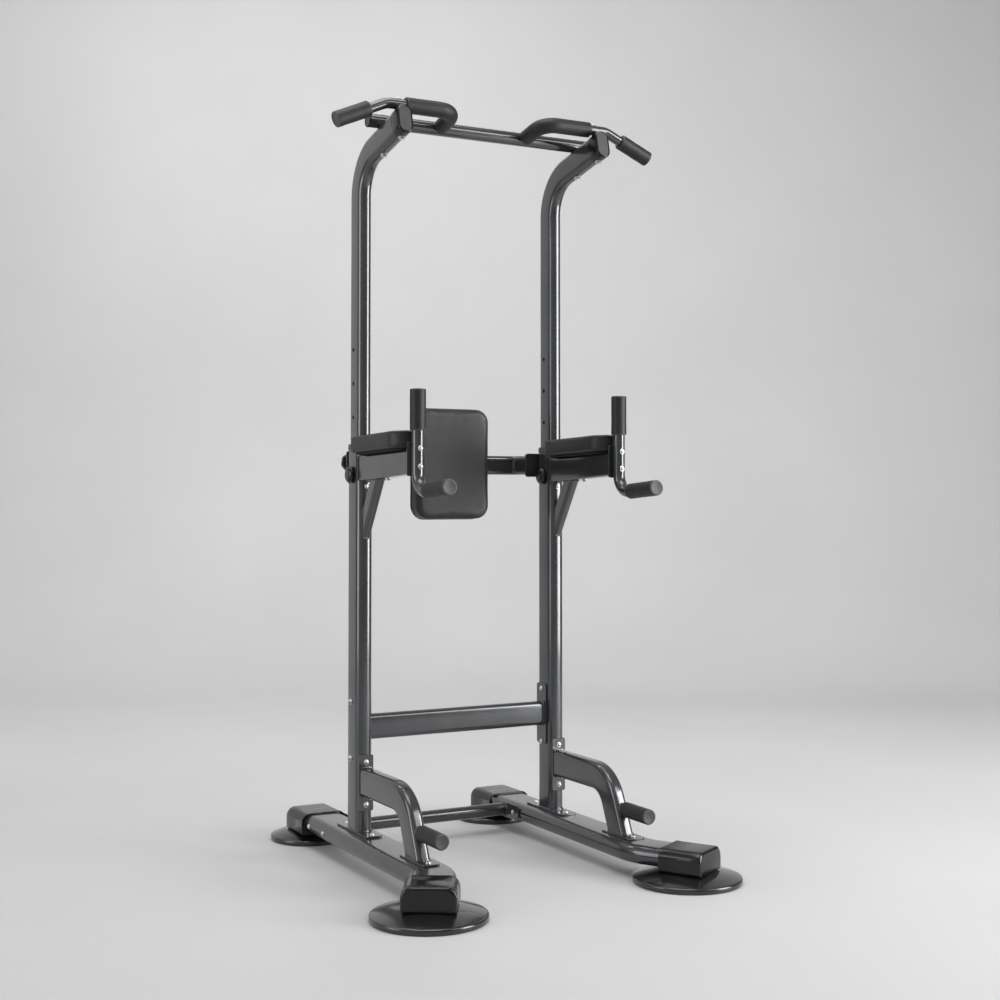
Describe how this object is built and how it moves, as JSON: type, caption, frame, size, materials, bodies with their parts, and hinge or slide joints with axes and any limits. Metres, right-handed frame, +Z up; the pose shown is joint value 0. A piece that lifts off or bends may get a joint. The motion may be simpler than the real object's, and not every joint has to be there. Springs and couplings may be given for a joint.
{
  "type": "power tower",
  "caption": "Free-standing pull-up, dip and push-up tower: bent upright tubes on rails with feet, a sliding mast, padded arms, a back pad and foam grips.",
  "frame": {"origin": "middle of the footprint's bounding box, on the floor", "axes": "+Z up; the user stands in front of the back pad, on the -Y side; +X is to the right as seen from the front"},
  "size_m": [1.022, 1.19, 2.0324],
  "materials": {
    "frame_paint": "satin dark grey powder coat",
    "grip_foam": "matte closed-cell foam",
    "pad_vinyl": "matte vinyl cover over foam",
    "black_plastic": "satin moulded",
    "foot_rubber": "glossy moulded",
    "pad_board": "plywood with black backing cloth",
    "zinc_steel": "zinc plated"
  },
  "bodies": {
    "frame": {"base_rail_left": "frame_paint", "base_rail_right": "frame_paint", "front_foot_boot_left": "black_plastic", "front_foot_boot_right": "black_plastic", "rear_foot_boot_left": "black_plastic", "rear_foot_boot_right": "black_plastic", "front_foot_disc_left": "foot_rubber", "front_foot_disc_right": "foot_rubber", "rear_foot_disc_left": "foot_rubber", "rear_foot_disc_right": "foot_rubber", "rear_crossbar": "frame_paint", "lower_upright_left": "frame_paint", "lower_upright_right": "frame_paint", "upright_collar_left": "black_plastic", "upright_collar_right": "black_plastic", "push_up_brace_left": "frame_paint", "push_up_brace_right": "frame_paint", "push_up_grip_left": "grip_foam", "push_up_grip_right": "grip_foam", "lower_crossbar": "frame_paint", "arm_left": "frame_paint", "arm_right": "frame_paint", "arm_strut_left": "frame_paint", "arm_strut_right": "frame_paint", "arm_pad_board_left": "pad_board", "arm_pad_board_right": "pad_board", "arm_pad_left": "pad_vinyl", "arm_pad_right": "pad_vinyl", "dip_handle_left": "frame_paint", "dip_handle_right": "frame_paint", "dip_grip_left": "grip_foam", "dip_grip_right": "grip_foam", "side_grip_left": "grip_foam", "side_grip_right": "grip_foam", "pin_barrel_left": "zinc_steel", "pin_barrel_right": "zinc_steel", "back_rest_bar": "frame_paint", "back_pad_board": "pad_board", "back_pad": "pad_vinyl"},
    "mast": {"upper_upright_left": "frame_paint", "upper_upright_right": "frame_paint", "mast_end_cap_left": "black_plastic", "mast_end_cap_right": "black_plastic", "pull_up_bar": "frame_paint", "pull_up_bar_cap_left": "black_plastic", "pull_up_bar_cap_right": "black_plastic", "top_handle_left": "frame_paint", "top_handle_right": "frame_paint", "outer_grip_left": "grip_foam", "outer_grip_right": "grip_foam", "inner_grip_left": "grip_foam", "inner_grip_right": "grip_foam"},
    "pin_left": {"pull_pin_left": "black_plastic"},
    "pin_right": {"pull_pin_right": "black_plastic"},
    "knob_left": {"back_knob_left": "black_plastic"},
    "knob_right": {"back_knob_right": "black_plastic"}
  },
  "joints": [
    {"name": "height_slide", "type": "slide", "parent": "frame", "child": "mast", "axis": [0, 0, 1], "range_m": [-0.341, 0]},
    {"name": "left_pin_pull", "type": "slide", "parent": "frame", "child": "pin_left", "axis": [-1, 0, 0], "range_m": [0, 0.006], "stiffness_N_per_m": 600},
    {"name": "right_pin_pull", "type": "slide", "parent": "frame", "child": "pin_right", "axis": [-1, 0, 0], "range_m": [0, 0.006], "stiffness_N_per_m": 600},
    {"name": "left_knob_turn", "type": "hinge", "parent": "frame", "child": "knob_left", "pos_m": [-0.3, 0.1719, 1.085], "axis": [0, 1, 0], "continuous": true},
    {"name": "right_knob_turn", "type": "hinge", "parent": "frame", "child": "knob_right", "pos_m": [0.3, 0.1719, 1.085], "axis": [0, 1, 0], "continuous": true}
  ]
}
